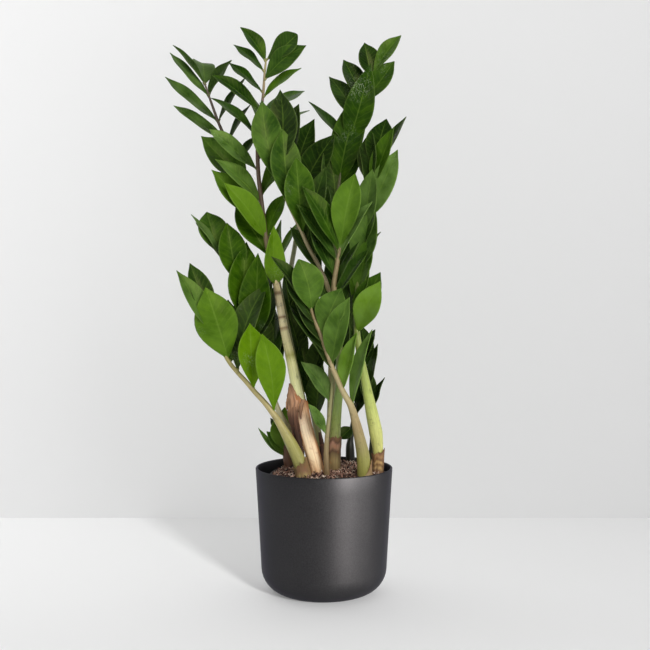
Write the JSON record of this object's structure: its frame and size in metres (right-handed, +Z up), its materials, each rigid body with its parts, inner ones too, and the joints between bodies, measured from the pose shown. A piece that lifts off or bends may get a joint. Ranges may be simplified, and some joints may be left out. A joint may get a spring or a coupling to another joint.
{
  "type": "potted zz plant",
  "caption": "Leafy houseplant with glossy leaflets in two ranks on thick upright stems, in soil in an inner pot that stands in a plain dark cover pot.",
  "frame": {"origin": "middle of the cover pot's flat foot, on the surface that it stands on", "axes": "+Z up, -Y towards the front, +X to the right seen from the front"},
  "size_m": [0.3186, 0.1803, 0.7412],
  "materials": {
    "cover_pot": "satin dark grey",
    "nursery_pot": "matte black",
    "soil": "rough, peat and bark chips",
    "frond": "glossy green leaflets on matte green stems",
    "sheath": "dry, papery, brown"
  },
  "bodies": {
    "root": {"cover_pot": "cover_pot", "nursery_pot": "nursery_pot", "soil": "soil", "frond_left_tall": "frond", "frond_back_left": "frond", "frond_left_low": "frond", "frond_left_middle": "frond", "frond_left_small": "frond", "frond_centre_left": "frond", "frond_back_centre": "frond", "frond_centre_front": "frond", "frond_back_tall": "frond", "frond_right": "frond", "frond_front_right": "frond", "frond_front_small": "frond", "frond_right_low": "frond", "frond_back_small": "frond", "sheath_left_tall": "sheath", "sheath_left_low": "sheath", "sheath_centre_front": "sheath", "sheath_right": "sheath", "sheath_front_right": "sheath"}
  },
  "joints": []
}
